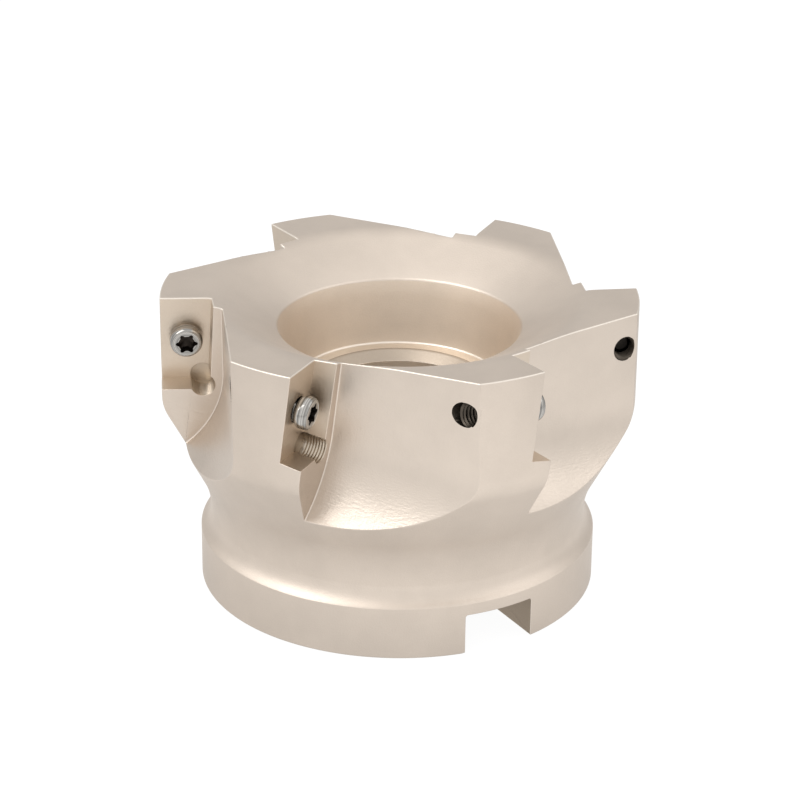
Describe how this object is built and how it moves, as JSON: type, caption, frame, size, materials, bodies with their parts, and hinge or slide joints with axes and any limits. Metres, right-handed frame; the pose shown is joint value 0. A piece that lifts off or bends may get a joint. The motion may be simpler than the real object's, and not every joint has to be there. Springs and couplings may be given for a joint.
{
  "type": "face mill body",
  "caption": "Indexable face milling cutter body with square-shoulder insert pockets, curved chip gullets, insert screws and an arbor bore with drive slots.",
  "frame": {"origin": "centre of the mounting face, on the bore axis", "axes": "+Z along the bore axis towards the cutting end; the drive slots open along -Y and +Y"},
  "size_m": [0.0748, 0.0785, 0.05],
  "materials": {
    "body_nickel": "satin champagne nickel plate over machined steel",
    "screw_steel": "bright turned steel"
  },
  "bodies": {
    "root": {"cutter_body": "body_nickel", "insert_screw_1": "screw_steel", "insert_screw_2": "screw_steel", "insert_screw_3": "screw_steel", "insert_screw_4": "screw_steel", "insert_screw_5": "screw_steel", "insert_screw_6": "screw_steel"}
  },
  "joints": []
}
